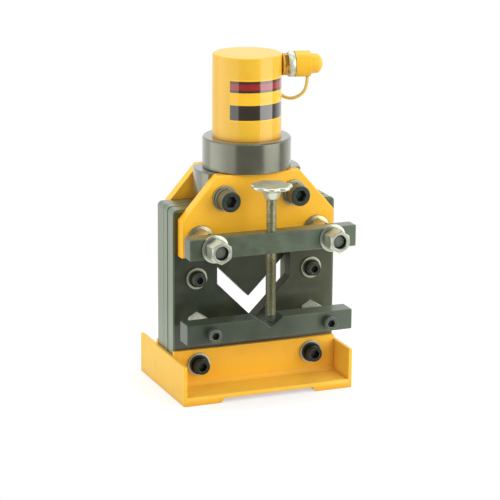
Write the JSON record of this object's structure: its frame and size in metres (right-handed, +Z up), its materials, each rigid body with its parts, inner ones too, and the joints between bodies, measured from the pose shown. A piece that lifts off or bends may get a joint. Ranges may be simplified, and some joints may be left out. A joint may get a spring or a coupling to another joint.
{
  "type": "hydraulic angle steel cutter",
  "caption": "Bench hydraulic cutter: a spring-return ram on a plate frame drives a V blade past a V die to shear angle steel, with a hand-screw hold-down and a tray base.",
  "frame": {"origin": "on the floor under the middle of the whole object's box", "axes": "+X to the right, +Y to the back, +Z up; the hold-down and the working side face -Y"},
  "size_m": [0.24, 0.2094, 0.4492],
  "materials": {
    "yellow_paint": "semi-gloss chrome-yellow paint",
    "blackened_steel": "blackened, ground flat",
    "black_oxide": "black oxide, oiled",
    "zinc": "bright zinc plate",
    "dark_steel": "oiled steel",
    "tool_steel": "hardened, ground",
    "hard_chrome": "ground and chromed",
    "brass": "turned brass",
    "seal_rubber": "moulded rubber",
    "yellow_plastic": "moulded plastic"
  },
  "bodies": {
    "frame": {"base_front_angle": "yellow_paint", "base_rear_angle": "yellow_paint", "base_side_left": "yellow_paint", "base_side_right": "yellow_paint", "base_foot_left": "yellow_paint", "base_foot_right": "yellow_paint", "head_plate_front": "yellow_paint", "head_plate_rear": "yellow_paint", "cylinder_barrel": "yellow_paint", "front_plate": "blackened_steel", "guide_rail_left": "blackened_steel", "guide_rail_right": "blackened_steel", "lower_spacer": "blackened_steel", "rear_plate": "blackened_steel", "head_block": "blackened_steel", "cylinder_collar": "blackened_steel", "upper_clamp_bar": "blackened_steel", "lower_rest_bar": "blackened_steel", "rest_bar_screws": "black_oxide", "plate_bolts": "black_oxide", "base_bolts_front": "black_oxide", "base_bolts_rear": "black_oxide", "head_bolts_front": "black_oxide", "head_bolts_rear": "black_oxide", "collar_bolts": "black_oxide", "head_spring_washers": "black_oxide", "bar_nuts": "zinc", "plate_collar_nuts": "zinc", "bar_jam_nuts": "zinc", "rear_stud_nuts": "zinc", "rear_stud_washers": "zinc", "rest_bar_spacers": "zinc", "plate_bolt_washers": "zinc", "base_bolt_washers": "zinc", "head_flat_washers": "zinc", "coupler_body": "zinc", "clamp_studs": "dark_steel", "return_spring": "dark_steel", "coupler_neck": "brass", "gland_bush": "brass", "rod_wiper": "seal_rubber", "cap_strap": "yellow_plastic"},
    "ram": {"piston_rod": "hard_chrome", "piston_seal": "seal_rubber", "moving_blade": "tool_steel", "ram_pin": "dark_steel"},
    "hold_down_foot": {"clamp_tip": "dark_steel"},
    "hold_down_screw": {"clamp_screw": "dark_steel", "clamp_knob": "zinc"},
    "dust_cap": {"dust_cap": "yellow_plastic"},
    "poppet": {"coupler_poppet": "brass"}
  },
  "joints": [
    {"name": "blade_stroke", "type": "slide", "parent": "frame", "child": "ram", "axis": [0, 0, -1], "range_m": [0, 0.034], "stiffness_N_per_m": 7800, "springref_m": -0.02, "deforming": ["return_spring"]},
    {"name": "hold_down_lift", "type": "slide", "parent": "frame", "child": "hold_down_foot", "axis": [0, 0, 1], "range_m": [0, 0.072]},
    {"name": "hold_down_turn", "type": "hinge", "parent": "hold_down_foot", "child": "hold_down_screw", "pos_m": [0, -0.06775, 0.2], "axis": [0, 0, 1], "range_deg": [0, 12960]},
    {"name": "cap_pull", "type": "slide", "parent": "frame", "child": "dust_cap", "axis": [0.9799, -0.1994, 0], "range_m": [0, 0.03], "deforming": ["cap_strap"]},
    {"name": "poppet_push", "type": "slide", "parent": "frame", "child": "poppet", "axis": [-0.9799, 0.1994, 0], "range_m": [0, 0.003], "stiffness_N_per_m": 1200, "springref_m": -0.003}
  ],
  "couplings": [
    {"joint": "hold_down_turn", "follows": "hold_down_lift", "rad_per_m": 3141.6}
  ]
}
